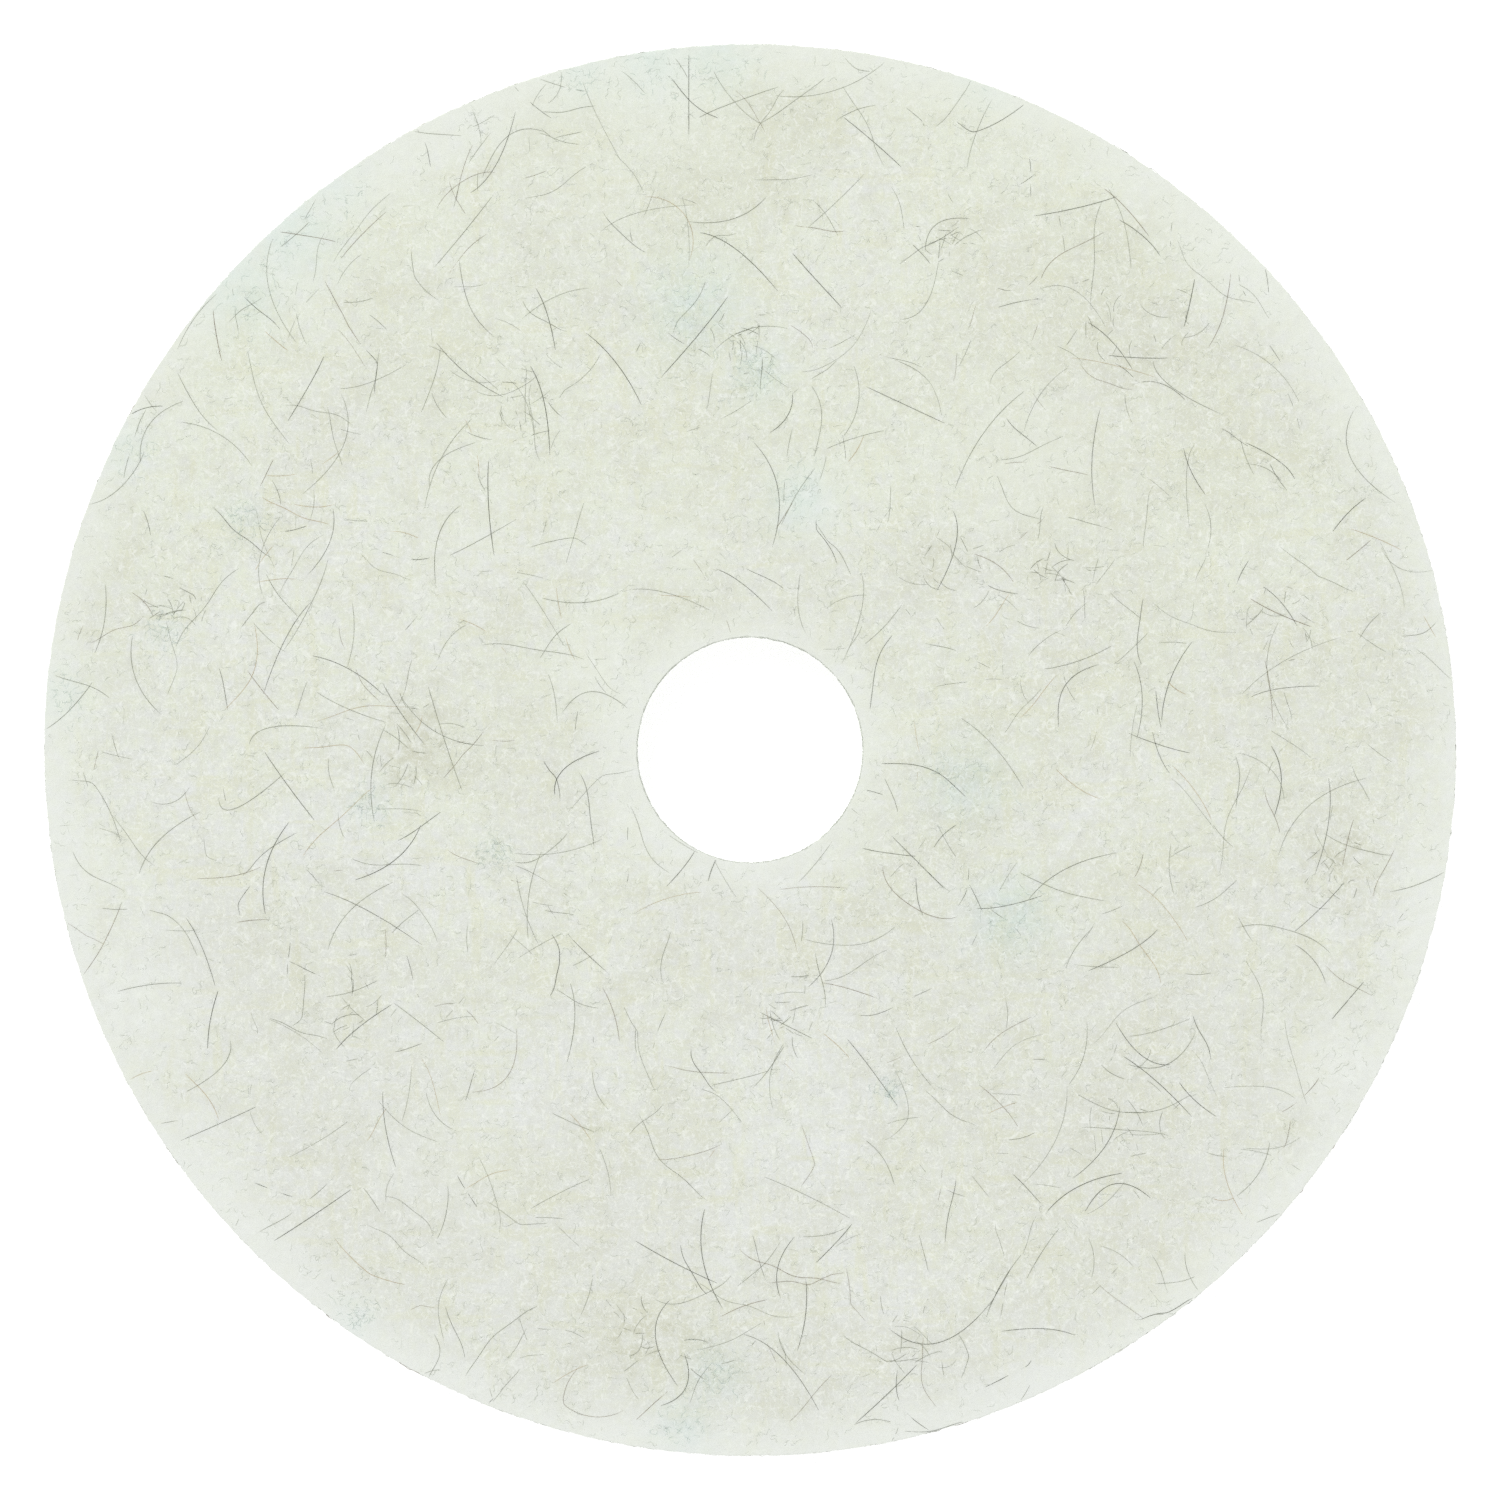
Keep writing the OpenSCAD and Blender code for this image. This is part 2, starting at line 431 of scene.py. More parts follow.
def wall_fibres(name, seed, count, radius, outward):
    """Fibres that the die laid bare along a wall: mostly level, curling in and out of it."""
    draw = np.random.default_rng(seed)
    nominal = PAD_R if outward == 1 else HOLE_R
    points = 17
    u, v, s = curly_paths(draw, count, points, (5 * MM, 13 * MM), (0, 160), (0.2, 1.1), (3 * MM, 7 * MM))
    level = 0.45
    z = draw.uniform(0.8 * MM, PAD_T - 0.8 * MM, (count, 1)) + level * v
    z = np.clip(z, 0.3 * MM, PAD_T - 0.3 * MM)
    angle = draw.uniform(0, TURN, (count, 1)) + u / nominal
    wave = TURN / draw.uniform(4 * MM, 9 * MM, (count, 1))
    lift = 0.06 * MM + 0.20 * MM * np.sin(s * wave + draw.uniform(0, TURN, (count, 1)))
    paths = wall_point(angle, z, lift, radius, outward)
    up = np.stack([np.cos(angle), np.sin(angle), np.zeros_like(angle)], 2)
    return tubes(name, paths, tapered(draw, count, points, 0.05 * MM, 0.08 * MM), up)


def cut_ends(name, seed, count, radius, outward):
    """Short ends of cut fibres that stand out of a wall and bend over."""
    draw = np.random.default_rng(seed)
    points = 7
    t = np.linspace(0, 1, points)[None, :]
    reach = draw.uniform(0.05 * MM, 0.32 * MM, (count, 1))
    lift = -0.4 * MM + (reach + 0.4 * MM) * np.sin(t * draw.uniform(1.0, 2.4, (count, 1)))
    side = draw.uniform(-1.3 * MM, 1.3 * MM, (count, 1)) * t ** 1.5
    rise = draw.uniform(-0.9 * MM, 0.7 * MM, (count, 1)) * t ** 1.5
    nominal = PAD_R if outward == 1 else HOLE_R
    angle = draw.uniform(0, TURN, (count, 1)) + side / nominal
    z = np.clip(draw.uniform(0.6 * MM, PAD_T - 0.5 * MM, (count, 1)) + rise, 0.2 * MM, PAD_T - 0.1 * MM)
    paths = wall_point(angle, z, lift, radius, outward)
    return tubes(name, paths, tapered(draw, count, points, 0.04 * MM, 0.07 * MM), (0.0, 0.0, 1.0))


# ---------------------------------------------------------------- hairs

HAIR_POINTS = 26
HAIR_LENGTH = (8 * MM, 46 * MM)
HAIR_BEND = (16 * MM, 110 * MM)
BOLD = 1.2                   # how much thicker the hairs laid one by one are than the loose ones

# The boldest hairs of the upper face, laid one by one: x, y of the first, middle and last point, in mm.
BLACK_LAID = [
    (1, 111, 10, 94, 8, 73), (41, 131, 56, 124, 71, 117), (-28, -197, -34, -211, -25, -230),
    (-206, -141, -190, -134, -177, -128), (-149, -108, -141, -100, -128, -91),
    (-167, 117, -158, 132, -153, 142), (-101, 200, -91, 211, -84, 231), (-94, 104, -94, 88, -92, 70),
    (-22, 250, -22, 235, -22, 221), (128, 142, 140, 141, 151, 141), (121, 154, 130, 147, 138, 136),
    (102, 192, 118, 195, 132, 199), (160, 170, 158, 160, 156, 152), (126, 123, 123, 105, 124, 88),
    (-158, 53, -167, 40, -175, 20), (-175, 0, -166, -13, -156, -26), (-165, -25, -174, -42, -174, -60),
    (-153, -51, -137, -58, -118, -70), (-118, -26, -127, -39, -143, -47), (-132, 24, -126, 14, -117, 2),
    (-158, 34, -144, 29, -131, 19), (-150, 87, -151, 75, -159, 63), (-203, -60, -197, -71, -192, -86),
    (-53, 0, -67, -7, -70, -17), (-12, 65, -3, 60, 8, 50), (73, 86, 74, 74, 67, 57),
    (-18, -33, -23, -41, -30, -49), (-10, -36, -13, -41, -15, -47), (51, -31, 59, -39, 70, -50),
    (29, -60, 29, -74, 20, -86), (81, -57, 92, -56, 106, -52), (138, 32, 141, 19, 139, 4),
    (159, 39, 151, 25, 148, 10), (187, 2, 191, -10, 188, -25), (208, -10, 208, -26, 203, -45),
    (214, -47, 206, -56, 195, -66), (147, -64, 137, -72, 120, -80), (-132, -122, -131, -136, -127, -151),
    (-191, -86, -194, -97, -195, -108), (-172, -177, -158, -168, -142, -157),
    (-42, -176, -26, -185, -11, -192), (-16, -164, -17, -183, -9, -202), (20, -190, 20, -203, 17, -216),
    (16, -175, 10, -186, 11, -197), (37, -170, 31, -177, 23, -185), (60, -221, 50, -231, 38, -242),
    (50, -208, 68, -213, 87, -198), (94, -186, 90, -193, 86, -200), (-3, -210, 12, -219, 26, -240),
    (35, -104, 43, -114, 53, -128), (106, -167, 118, -157, 135, -152), (120, -167, 131, -156, 145, -162),
    (154, -119, 160, -126, 168, -132), (134, -110, 146, -119, 159, -132), (133, -128, 128, -142, 116, -154),
    (131, -97, 141, -110, 152, -113), (209, -97, 215, -90, 221, -83), (-79, 138, -74, 125, -72, 106),
    (-77, 166, -73, 157, -70, 144), (-59, 150, -48, 139, -39, 124), (15, 179, 22, 171, 34, 158),
    (-18, 186, -5, 180, 10, 165), (-8, 163, -18, 150, -32, 134), (33, 228, 44, 219, 55, 209),
    (196, -70, 203, -76, 207, -84), (184, 59, 191, 53, 197, 44), (180, 19, 190, 22, 205, 23),
    (177, 111, 190, 104, 196, 97), (-24, -216, -23, -229, -33, -236),
]
GREY_LAID = [
    (-147, 128, -146, 110, -161, 92), (-205, 118, -190, 113, -179, 102), (-171, 185, -173, 166, -162, 145),
    (-114, 173, -103, 186, -92, 200), (-148, 130, -137, 132, -123, 139), (-202, 126, -216, 117, -219, 102),
    (-100, 119, -111, 105, -117, 87), (-97, 111, -112, 104, -115, 94), (-104, 88, -112, 77, -113, 60),
    (-19, 227, -8, 232, 12, 239), (-60, 240, -55, 228, -46, 211), (-54, 186, -41, 193, -20, 196),
    (-22, 190, -6, 191, 6, 199), (21, 188, 31, 197, 41, 207), (87, 234, 81, 221, 78, 209),
    (63, 179, 67, 189, 79, 191), (68, 178, 63, 160, 53, 155), (-82, 155, -70, 163, -58, 166),
    (37, 139, 39, 125, 33, 112), (27, 108, 37, 112, 49, 115), (100, 130, 84, 114, 73, 92),
    (145, 140, 151, 131, 169, 121), (173, 146, 188, 138, 198, 124), (217, 122, 216, 105, 232, 89),
    (160, 110, 157, 100, 158, 80), (-232, 61, -232, 47, -236, 34), (-254, 7, -245, 14, -236, 25),
    (-222, 41, -221, 26, -212, 13), (-168, 85, -176, 70, -175, 55), (-108, 70, -98, 75, -84, 83),
    (-156, 21, -145, 15, -131, 10), (-116, 24, -110, 4, -103, -16), (-131, 9, -136, -8, -135, -26),
    (-180, 2, -173, 8, -155, 8), (-191, -17, -185, -21, -167, -8), (-195, -21, -212, -32, -220, -46),
    (-127, -47, -144, -58, -152, -73), (-76, 55, -60, 53, -46, 57), (-46, 57, -32, 57, -14, 50),
    (-82, 61, -75, 51, -66, 36), (40, 64, 40, 50, 33, 31), (-67, 14, -57, 21, -44, 15),
    (-85, -37, -69, -37, -53, -32), (-84, -45, -81, -58, -76, -70), (75, 12, 88, 1, 99, -15),
    (100, -54, 113, -43, 132, -37), (105, 29, 118, 32, 131, 38), (190, 46, 186, 27, 194, 7),
    (176, 19, 192, 32, 214, 41), (190, -38, 201, -20, 222, -10), (230, -51, 241, -48, 251, -43),
    (-187, -104, -190, -114, -205, -124), (-128, -91, -120, -97, -110, -105),
    (-167, -147, -154, -140, -144, -133), (-65, -83, -63, -96, -66, -113), (3, -94, 13, -99, 23, -104),
    (-57, -154, -68, -159, -79, -165), (4, -153, 20, -160, 37, -169), (41, -140, 48, -147, 52, -157),
    (121, -97, 120, -110, 114, -121), (114, -121, 110, -140, 97, -157), (160, -102, 150, -113, 136, -113),
    (187, -140, 183, -152, 174, -161),
]
BROWN_LAID = [
    (-193, 158, -192, 150, -190, 140), (-181, 29, -175, 21, -169, 14), (127, 202, 135, 195, 144, 184),
    (217, -25, 215, -32, 213, -42), (-84, -100, -87, -117, -100, -123), (179, 55, 190, 49, 203, 44),
]
TAN_LAID = [(115, 141, 128, 139, 146, 134), (150, 25, 153, 22, 157, 20), (166, -161, 170, -162, 174, -161)]

# Places of the upper face where fine hairs lie close together: x, y, radius, in mm, and how dark they are.
KNOTS = [
    (-38, -212, 14, 2.4), (138, 152, 20, 0.9), (-122, 0, 15, 3.0), (212, -40, 14, 2.2), (-4, 146, 9, 0.4),
    (68, 66, 14, 1.2), (-142, -92, 12, 0.5), (108, 66, 8, 0.4), (195, 48, 14, 0.5), (-82, 126, 13, 0.6),
    (72, 186, 10, 0.3), (12, -95, 8, 0.7), (130, -130, 22, 0.5), (60, -212, 12, 0.3), (-208, 50, 9, 0.4),
]


def bars_of(node):
    """The CAD hairs of a node as rows of middle x, middle y, heading, length and bend."""
    mesh = frame["nodes"][node].data
    points = np.array([v.co for v in mesh.vertices])
    spots, own = np.unique(np.round(points / (0.01 * MM)).astype(int), axis=0, return_inverse=True)
    own = own.ravel()
    root = list(range(len(spots)))

    def top_of(i):
        while root[i] != i:
            root[i] = root[root[i]]
            i = root[i]
        return i

    for face in mesh.polygons:
        corners = [own[v] for v in face.vertices]
        for c in corners[1:]:
            root[top_of(c)] = top_of(corners[0])
    groups = {}
    for i in range(len(spots)):
        groups.setdefault(top_of(i), []).append(i)
    rows = []
    for members in groups.values():
        flat = spots[members][:, :2] * 0.01 * MM
        middle = flat.mean(0)
        axis = np.linalg.eigh(np.cov((flat - middle).T))[1][:, 1]
        along = (flat - middle) @ axis
        across = (flat - middle) @ np.array([-axis[1], axis[0]])
        length = along.max() - along.min()
        bow = np.polyfit(along, across, 2)[0] * 2
        rows.append([*middle, math.atan2(axis[1], axis[0]), length, bow])
    return np.array(sorted(rows))


def more_hairs(draw, count, length, bend):
    """Hairs between the CAD's own, in the same form."""
    x, y = spread(draw, count)
    size = draw.beta(1.6, 2.2, (count, 1)) * (length[1] - length[0]) + length[0]
    turn = draw.uniform(0, TURN, (count, 1))
    curve = draw.choice([-1, 1], (count, 1)) / draw.uniform(*bend, (count, 1))
    return np.hstack([x, y, turn, size, curve])


def knot_hairs(draw, places, per_place=20):
    """Short curled hairs gathered in knots, in the same form."""
    x, y, radius, _ = np.repeat(places, per_place, axis=0).T
    count = len(x)
    size = draw.uniform(3 * MM, 12 * MM, count)
    curve = draw.choice([-1, 1], count) / draw.uniform(5 * MM, 30 * MM, count)
    x, y = x + draw.normal(0, 0.6, count) * radius, y + draw.normal(0, 0.6, count) * radius
    return np.stack([x, y, draw.uniform(0, TURN, count), size, curve], 1)


def laid_lines(rows):
    """Flat paths, each an even curve through three points."""
    first, middle, last = (np.array(rows, float).reshape(-1, 3, 2).transpose(1, 0, 2) * MM)[:, :, None]
    t = np.linspace(0, 1, HAIR_POINTS)[None, :, None]
    pull = 2 * middle - 0.5 * (first + last)
    path = (1 - t) ** 2 * first + 2 * t * (1 - t) * pull + t ** 2 * last
    return path[..., 0], path[..., 1]


def hair_lines(draw, rows):
    """Flat paths of hairs: an even bend, a slow wander and here and there a kink."""
    count = len(rows)
    mid_x, mid_y, turn, size, curve = (rows[:, k, None] for k in range(5))
    s = (np.linspace(0, 1, HAIR_POINTS)[None, :] - 0.5) * size
    wave = TURN / draw.uniform(14 * MM, 40 * MM, (count, 1))
    wander = draw.uniform(0, 0.22, (count, 1)) * np.sin(s * wave + draw.uniform(0, TURN, (count, 1)))
    heading = turn + s * curve + wander
    kinked = draw.uniform(0, 1, (count, 1)) < 0.16
    kink_at = draw.uniform(-0.35, 0.35, (count, 1)) * size
    kink = draw.uniform(-0.9, 0.9, (count, 1)) * kinked
    heading = heading + kink / (1 + np.exp(-np.clip((s - kink_at) / (0.5 * MM), -40, 40)))
    step = size / (HAIR_POINTS - 1)
    x, y = np.cumsum(step * np.cos(heading), 1), np.cumsum(step * np.sin(heading), 1)
    return x - x.mean(1, keepdims=True) + mid_x, y - y.mean(1, keepdims=True) + mid_y


def cut_to_ring(x, y, clear=0.45 * MM):
    """Each path's longest run inside the pad, with its points spread along it again, unless it is short."""
    kept_x, kept_y = [], []
    for px, py in zip(x, y):
        r = np.hypot(px, py)
        inside = (r < PAD_R - clear) & (r > HOLE_R + clear)
        ends = np.flatnonzero(np.diff(np.concatenate([[0], inside, [0]])))
        runs = sorted(zip(ends[::2], ends[1::2]), key=lambda run: run[0] - run[1])
        if not runs or runs[0][1] - runs[0][0] < HAIR_POINTS // 4:
            continue
        first, last = runs[0]
        at = np.linspace(first, last - 1, HAIR_POINTS)
        kept_x.append(np.interp(at, np.arange(HAIR_POINTS), px))
        kept_y.append(np.interp(at, np.arange(HAIR_POINTS), py))
    return np.array(kept_x), np.array(kept_y)


def hairs(node, seed, extra, thick, sunk, laid, knots):
    """A face's hairs of one colour, for a CAD node. sunk is the share of the loose ones that dip under."""
    draw = np.random.default_rng(seed)
    side = 1 if node.startswith("top") else -1
    loose = more_hairs(draw, extra, HAIR_LENGTH, HAIR_BEND)
    rows = np.concatenate([bars_of(node), loose, knot_hairs(draw, knots)])
    x, y = cut_to_ring(*hair_lines(draw, rows))
    bold = 0
    if side == 1:
        laid_x, laid_y = cut_to_ring(*laid_lines(laid))
        bold = len(laid_x)
        x, y = np.concatenate([laid_x, x]), np.concatenate([laid_y, y])
    count = len(x)
    is_bold = (np.arange(count) < bold)[:, None]
    t = np.linspace(0, 1, HAIR_POINTS)[None, :]
    waves = draw.uniform(0.4, 1.5, (count, 1))
    wave = np.sin(TURN * waves * t + draw.uniform(0, TURN, (count, 1)))
    dipping = (draw.uniform(0, 1, (count, 1)) < sunk) & ~is_bold
    lift = np.where(dipping, 0.02 * MM + 0.12 * MM * wave, 0.12 * MM + 0.03 * MM * wave)
    ends = 0.30 * MM * np.clip(np.abs(2 * t - 1) * 8 - 7, 0, 1) * draw.choice([0, 1], (count, 1))
    radii = tapered(draw, count, HAIR_POINTS, *thick, tip=0.25) * np.where(is_bold, BOLD, 1.0)
    piece = tubes(node, on_face(x, y, lift - ends, side), radii, (0.0, 0.0, float(side)), sides=4)
    piece.name = node + "_set"
    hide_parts(node)
    return piece


def rim_hairs(node, seed, extra):
    """Hairs laid bare in the rim, following the CAD's own and others between them."""
    draw = np.random.default_rng(seed)
    mesh = frame["nodes"][node].data
    points = np.array([v.co for v in mesh.vertices])
    angle, z = np.arctan2(points[:, 1], points[:, 0]), points[:, 2]
    order = np.lexsort((angle, np.round(z / (0.05 * MM))))
    angle, z = angle[order], z[order]
    parted = (np.abs(np.diff(z)) > 0.4 * MM) | (np.diff(angle) > 0.1)
    starts = np.flatnonzero(np.concatenate([[True], parted]))
    rows = []
    for first, last in zip(starts, np.append(starts[1:], len(z))):
        sweep = angle[last - 1] - angle[first]
        if sweep > 0.01:
            rows.append([(angle[first] + angle[last - 1]) / 2, z[first], sweep * PAD_R])
    rows = np.array(rows)
    others = np.stack([draw.uniform(0, TURN, extra), draw.uniform(1 * MM, PAD_T - 1 * MM, extra),
                       draw.uniform(3 * MM, 16 * MM, extra)], 1)
    rows = np.concatenate([rows, others])
    count = len(rows)
    t = np.linspace(-0.5, 0.5, HAIR_POINTS)[None, :]
    along = t * rows[:, 2, None]
    slope = draw.uniform(-0.35, 0.35, (count, 1))
    height = rows[:, 1, None] + slope * along + draw.uniform(-1, 1, (count, 1)) * 1.2 * MM * (t * 2) ** 2
    height = np.clip(height, 0.4 * MM, PAD_T - 0.4 * MM)
    angle = rows[:, 0, None] + along / PAD_R
    waves = draw.uniform(0.5, 1.8, (count, 1))
    lift = 0.08 * MM + 0.2 * MM * np.sin(TURN * t * waves + draw.uniform(0, TURN, (count, 1)))
    up = np.stack([np.cos(angle), np.sin(angle), np.zeros_like(angle)], 2)
    radii = tapered(draw, count, HAIR_POINTS, 0.06 * MM, 0.10 * MM, tip=0.3)
    piece = tubes(node, wall_point(angle, height, lift, rim_radius, 1), radii, up, sides=4)
    piece.name = node + "_set"
    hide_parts(node)
    return piece


# ---------------------------------------------------------------- tinted tufts

# Blue-green tufts of the upper face: x, y, radius, in mm, and how strong the tint is.
TUFTS = [
    (-20, 160, 16, 0.9), (3, 136, 10, 0.8), (18, 90, 11, 0.9), (78, -12, 14, 0.8), (94, -60, 14, 1.0),
    (-150, 203, 12, 0.5), (-165, 186, 16, 0.8), (-182, 166, 14, 0.8), (-60, 244, 10, 0.5),
    (-35, 248, 12, 0.7), (-12, 249, 12, 0.7), (84, 240, 9, 0.4), (-224, 108, 9, 0.5), (-182, 84, 8, 0.4),
    (-248, 20, 9, 0.4), (-136, -20, 8, 0.4), (-210, 43, 6, 0.3), (-92, -36, 6, 0.4), (-12, -224, 10, 0.7),
    (-24, -243, 10, 0.7), (-142, -204, 8, 0.4), (50, -123, 5, 0.4),
]

# Places of the upper face painted paler: mostly a painted glow of light through the web along its cut edges,
# and some lighter patches further in. Each is x, y, radius, in mm, and how strong the painted glow is.
PAINTED_GLOW_SPOTS = [
    (-228, -92, 26, 1.0), (-205, -140, 20, 0.6), (-240, -40, 18, 0.6), (-168, -190, 18, 0.6),
    (-242, 30, 14, 0.3), (-150, 205, 16, 0.8), (-172, 180, 22, 0.9), (-212, 125, 14, 0.4),
    (-30, 245, 22, 1.0), (45, 244, 16, 0.5), (110, 224, 18, 0.5), (150, 200, 12, 0.3), (220, -116, 24, 1.1),
    (195, -160, 20, 0.6), (150, -207, 18, 0.7), (100, -232, 14, 0.5), (-52, 28, 17, 0.8),
    (-22, 72, 16, 0.3), (0, -54, 12, 0.3), (55, 5, 10, 0.3), (20, 88, 13, 0.9), (100, 105, 24, 0.5),
    (-110, -150, 26, 0.3), (-60, 205, 24, 0.2), (-105, 75, 24, 0.2),
]
LOWER_SEED = 6


def places_on(side, top_rows, seed, radii):
    """Middles, radii and strengths: the upper face's own, or as many places spread over the lower face."""
    if side == 1:
        return np.array(top_rows) * (MM, MM, MM, 1)
    draw = np.random.default_rng(seed)
    x, y = spread(draw, len(top_rows), HOLE_R * 1.3, PAD_R * 0.96)
    radius, strength = draw.uniform(*radii, x.shape), draw.uniform(0.4, 1.0, x.shape)
    return np.hstack([x, y, radius, strength])


def tuft_places(side):
    return places_on(side, TUFTS, LOWER_SEED, (8 * MM, 16 * MM))


def knot_places(side):
    return places_on(side, KNOTS, LOWER_SEED + 1, (8 * MM, 18 * MM))


def painted_glow_spots(side):
    return places_on(side, PAINTED_GLOW_SPOTS, LOWER_SEED + 2, (14 * MM, 26 * MM))


def tuft_fibres(node, seed, per_tuft=30):
    """Fine blue-green fibres, gathered in tufts."""
    draw = np.random.default_rng(seed)
    side = 1 if node.startswith("top") else -1
    places = np.repeat(tuft_places(side), per_tuft, axis=0)
    count, points = len(places), 17
    x, y, s = curly_paths(draw, count, points, (4 * MM, 11 * MM), (0, 300), (0.3, 1.2), (3 * MM, 6 * MM))
    x = x + places[:, 0, None] + draw.normal(0, 0.55, (count, 1)) * places[:, 2, None]
    y = y + places[:, 1, None] + draw.normal(0, 0.55, (count, 1)) * places[:, 2, None]
    keep = inside_edges(x, y, 0.7 * MM)
    x, y, s, count = x[keep], y[keep], s[keep], int(keep.sum())
    wave = TURN / draw.uniform(4 * MM, 9 * MM, (count, 1))
    lift = 0.03 * MM + 0.15 * MM * np.sin(s * wave + draw.uniform(0, TURN, (count, 1)))
    radii = tapered(draw, count, points, 0.045 * MM, 0.08 * MM)
    piece = tubes(node, on_face(x, y, lift, side), radii, (0.0, 0.0, float(side)))
    piece.name = node + "_set"
    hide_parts(node)
    return piece


def paint(piece, layer_name, places):
    """Stores how much of a tint shows at each point, for the material. A place is x, y, radius, strength."""
    points = np.zeros(len(piece.data.vertices) * 3, np.float32)
    piece.data.vertices.foreach_get("co", points)
    x, y, _ = points.reshape(-1, 3).T
    amount = np.zeros(len(x))
    for at_x, at_y, radius, strength in places:
        off = (x - at_x) ** 2 + (y - at_y) ** 2
        amount = np.maximum(amount, strength * np.exp(-off / (1.1 * radius ** 2)))
    layer = piece.data.attributes.new(layer_name, "FLOAT", "POINT")
    layer.data.foreach_set("value", amount.astype(np.float32))


# ---------------------------------------------------------------- materials


class Nodes:
    """Short calls that build a material's tree."""

    def __init__(self, name):
        self.material = bpy.data.materials.new(name)
        self.material.use_nodes = True
        self.tree = self.material.node_tree
        self.shader = self.tree.nodes["Principled BSDF"]
        self.places = self.tree.nodes.new("ShaderNodeTexCoord").outputs["Object"]

    def feed(self, socket, value):
        if isinstance(value, bpy.types.NodeSocket):
            self.tree.links.new(value, socket)
        else:
            socket.default_value = value

    def math(self, operation, a, b=0.0, clamp=False):
        node = self.tree.nodes.new("ShaderNodeMath")
        node.operation = operation
        node.use_clamp = clamp
        self.feed(node.inputs[0], a)
        self.feed(node.inputs[1], b)
        return node.outputs[0]

    def noise(self, wavelength, detail=2.0, distortion=0.0, shift=0.0, squeeze=(1, 1, 1)):
        """Noise from 0 to 1 with a wavelength in metres, divided by squeeze along each axis."""
        move = self.tree.nodes.new("ShaderNodeMapping")
        move.inputs["Location"].default_value = (shift, 0.37 * shift, 0.71 * shift)
        move.inputs["Scale"].default_value = squeeze
        self.feed(move.inputs["Vector"], self.places)
        node = self.tree.nodes.new("ShaderNodeTexNoise")
        self.feed(node.inputs["Vector"], move.outputs[0])
        node.inputs["Scale"].default_value = 1.0 / wavelength
        node.inputs["Detail"].default_value = detail
        node.inputs["Distortion"].default_value = distortion
        return node.outputs["Fac"]

    def spread_out(self, value, low, high, to_low=0.0, to_high=1.0):
        node = self.tree.nodes.new("ShaderNodeMapRange")
        node.interpolation_type = "SMOOTHSTEP"
        self.feed(node.inputs["Value"], value)
        for name, number in zip(("From Min", "From Max", "To Min", "To Max"), (low, high, to_low, to_high)):
            node.inputs[name].default_value = number
        return node.outputs[0]

    def strands(self, wavelength, width, shift):
        """Thin curling lines, 1 along each line and 0 between them."""
        wave = self.noise(wavelength, detail=1.0, distortion=0.6, shift=shift)
        off = self.math("ABSOLUTE", self.math("SUBTRACT", wave, 0.5))
        return self.spread_out(off, 0.0, width, 1.0, 0.0)

    def mix(self, share, a, b, kind="MIX"):
        node = self.tree.nodes.new("ShaderNodeMix")
        node.data_type = "RGBA"
        node.blend_type = kind
        self.feed(node.inputs["Factor"], share)
        self.feed(node.inputs["A"], a)
        self.feed(node.inputs["B"], b)
        return node.outputs["Result"]

    def blend_of(self, first, second):
        """The sum of two values, each with its weight."""
        return self.math("ADD", self.math("MULTIPLY", *first), self.math("MULTIPLY", *second))

    def wisps(self, wavelength, low, high, shift):
        """Streaks that lie along the web and across it, 1 in the middle of each."""
        along = self.noise(wavelength, detail=2.0, shift=shift, squeeze=(0.25, 1.2, 1))
        athwart = self.noise(wavelength, detail=2.0, shift=shift + 0.7, squeeze=(1.2, 0.25, 1))
        return self.spread_out(self.math("MAXIMUM", along, athwart), low, high)

    def across(self):
        """Place across the pad: x, y and the distance from its axis."""
        split = self.tree.nodes.new("ShaderNodeSeparateXYZ")
        self.feed(split.inputs[0], self.places)
        x, y = split.outputs[0], split.outputs[1]
        squares = self.math("ADD", self.math("MULTIPLY", x, x), self.math("MULTIPLY", y, y))
        return x, y, self.math("SQRT", squares)

    def painted(self, layer_name):
        """A value stored in the mesh by paint()."""
        node = self.tree.nodes.new("ShaderNodeAttribute")
        node.attribute_name = layer_name
        return node.outputs["Fac"]


WARM = (0.774, 0.816, 0.688, 1)
COOL = (0.775, 0.797, 0.773, 1)
# The core's colours are the face's made darker, a painted shade of the walls where the core shows.
CORE_WARM = (0.700, 0.724, 0.640, 1)
CORE_COOL = (0.690, 0.710, 0.672, 1)
PAINTED_GLOW_TONE = (0.845, 0.876, 0.822, 1)
YELLOW = (0.750, 0.768, 0.575, 1)
BLUE_GREEN = (0.910, 0.972, 1.000, 1)
SHADE = (0.640, 0.652, 0.525, 1)
FINE_SHADE = (0.625, 0.648, 0.598, 1)
LIGHT = (0.885, 0.910, 0.852, 1)
TINT_DRIFT = 0.13            # how far the web turns warmer from its middle to one side
TONE_DRIFT = (-0.04, 0.09)   # how far it turns lighter, along x and along y


def cool_to_warm(n, y, cool, warm):
    """Clouds of two whites, which turn warmer along y."""
    clouds = n.blend_of(
        (n.noise(46 * MM, detail=3.0, shift=5.0), 0.4),
        (n.noise(5 * MM, detail=2.0, shift=9.0), 0.6),
    )
    lean = n.math("ADD", clouds, n.math("MULTIPLY", y, TINT_DRIFT / PAD_R))
    return n.mix(n.spread_out(lean, 0.33, 0.67), cool, warm)


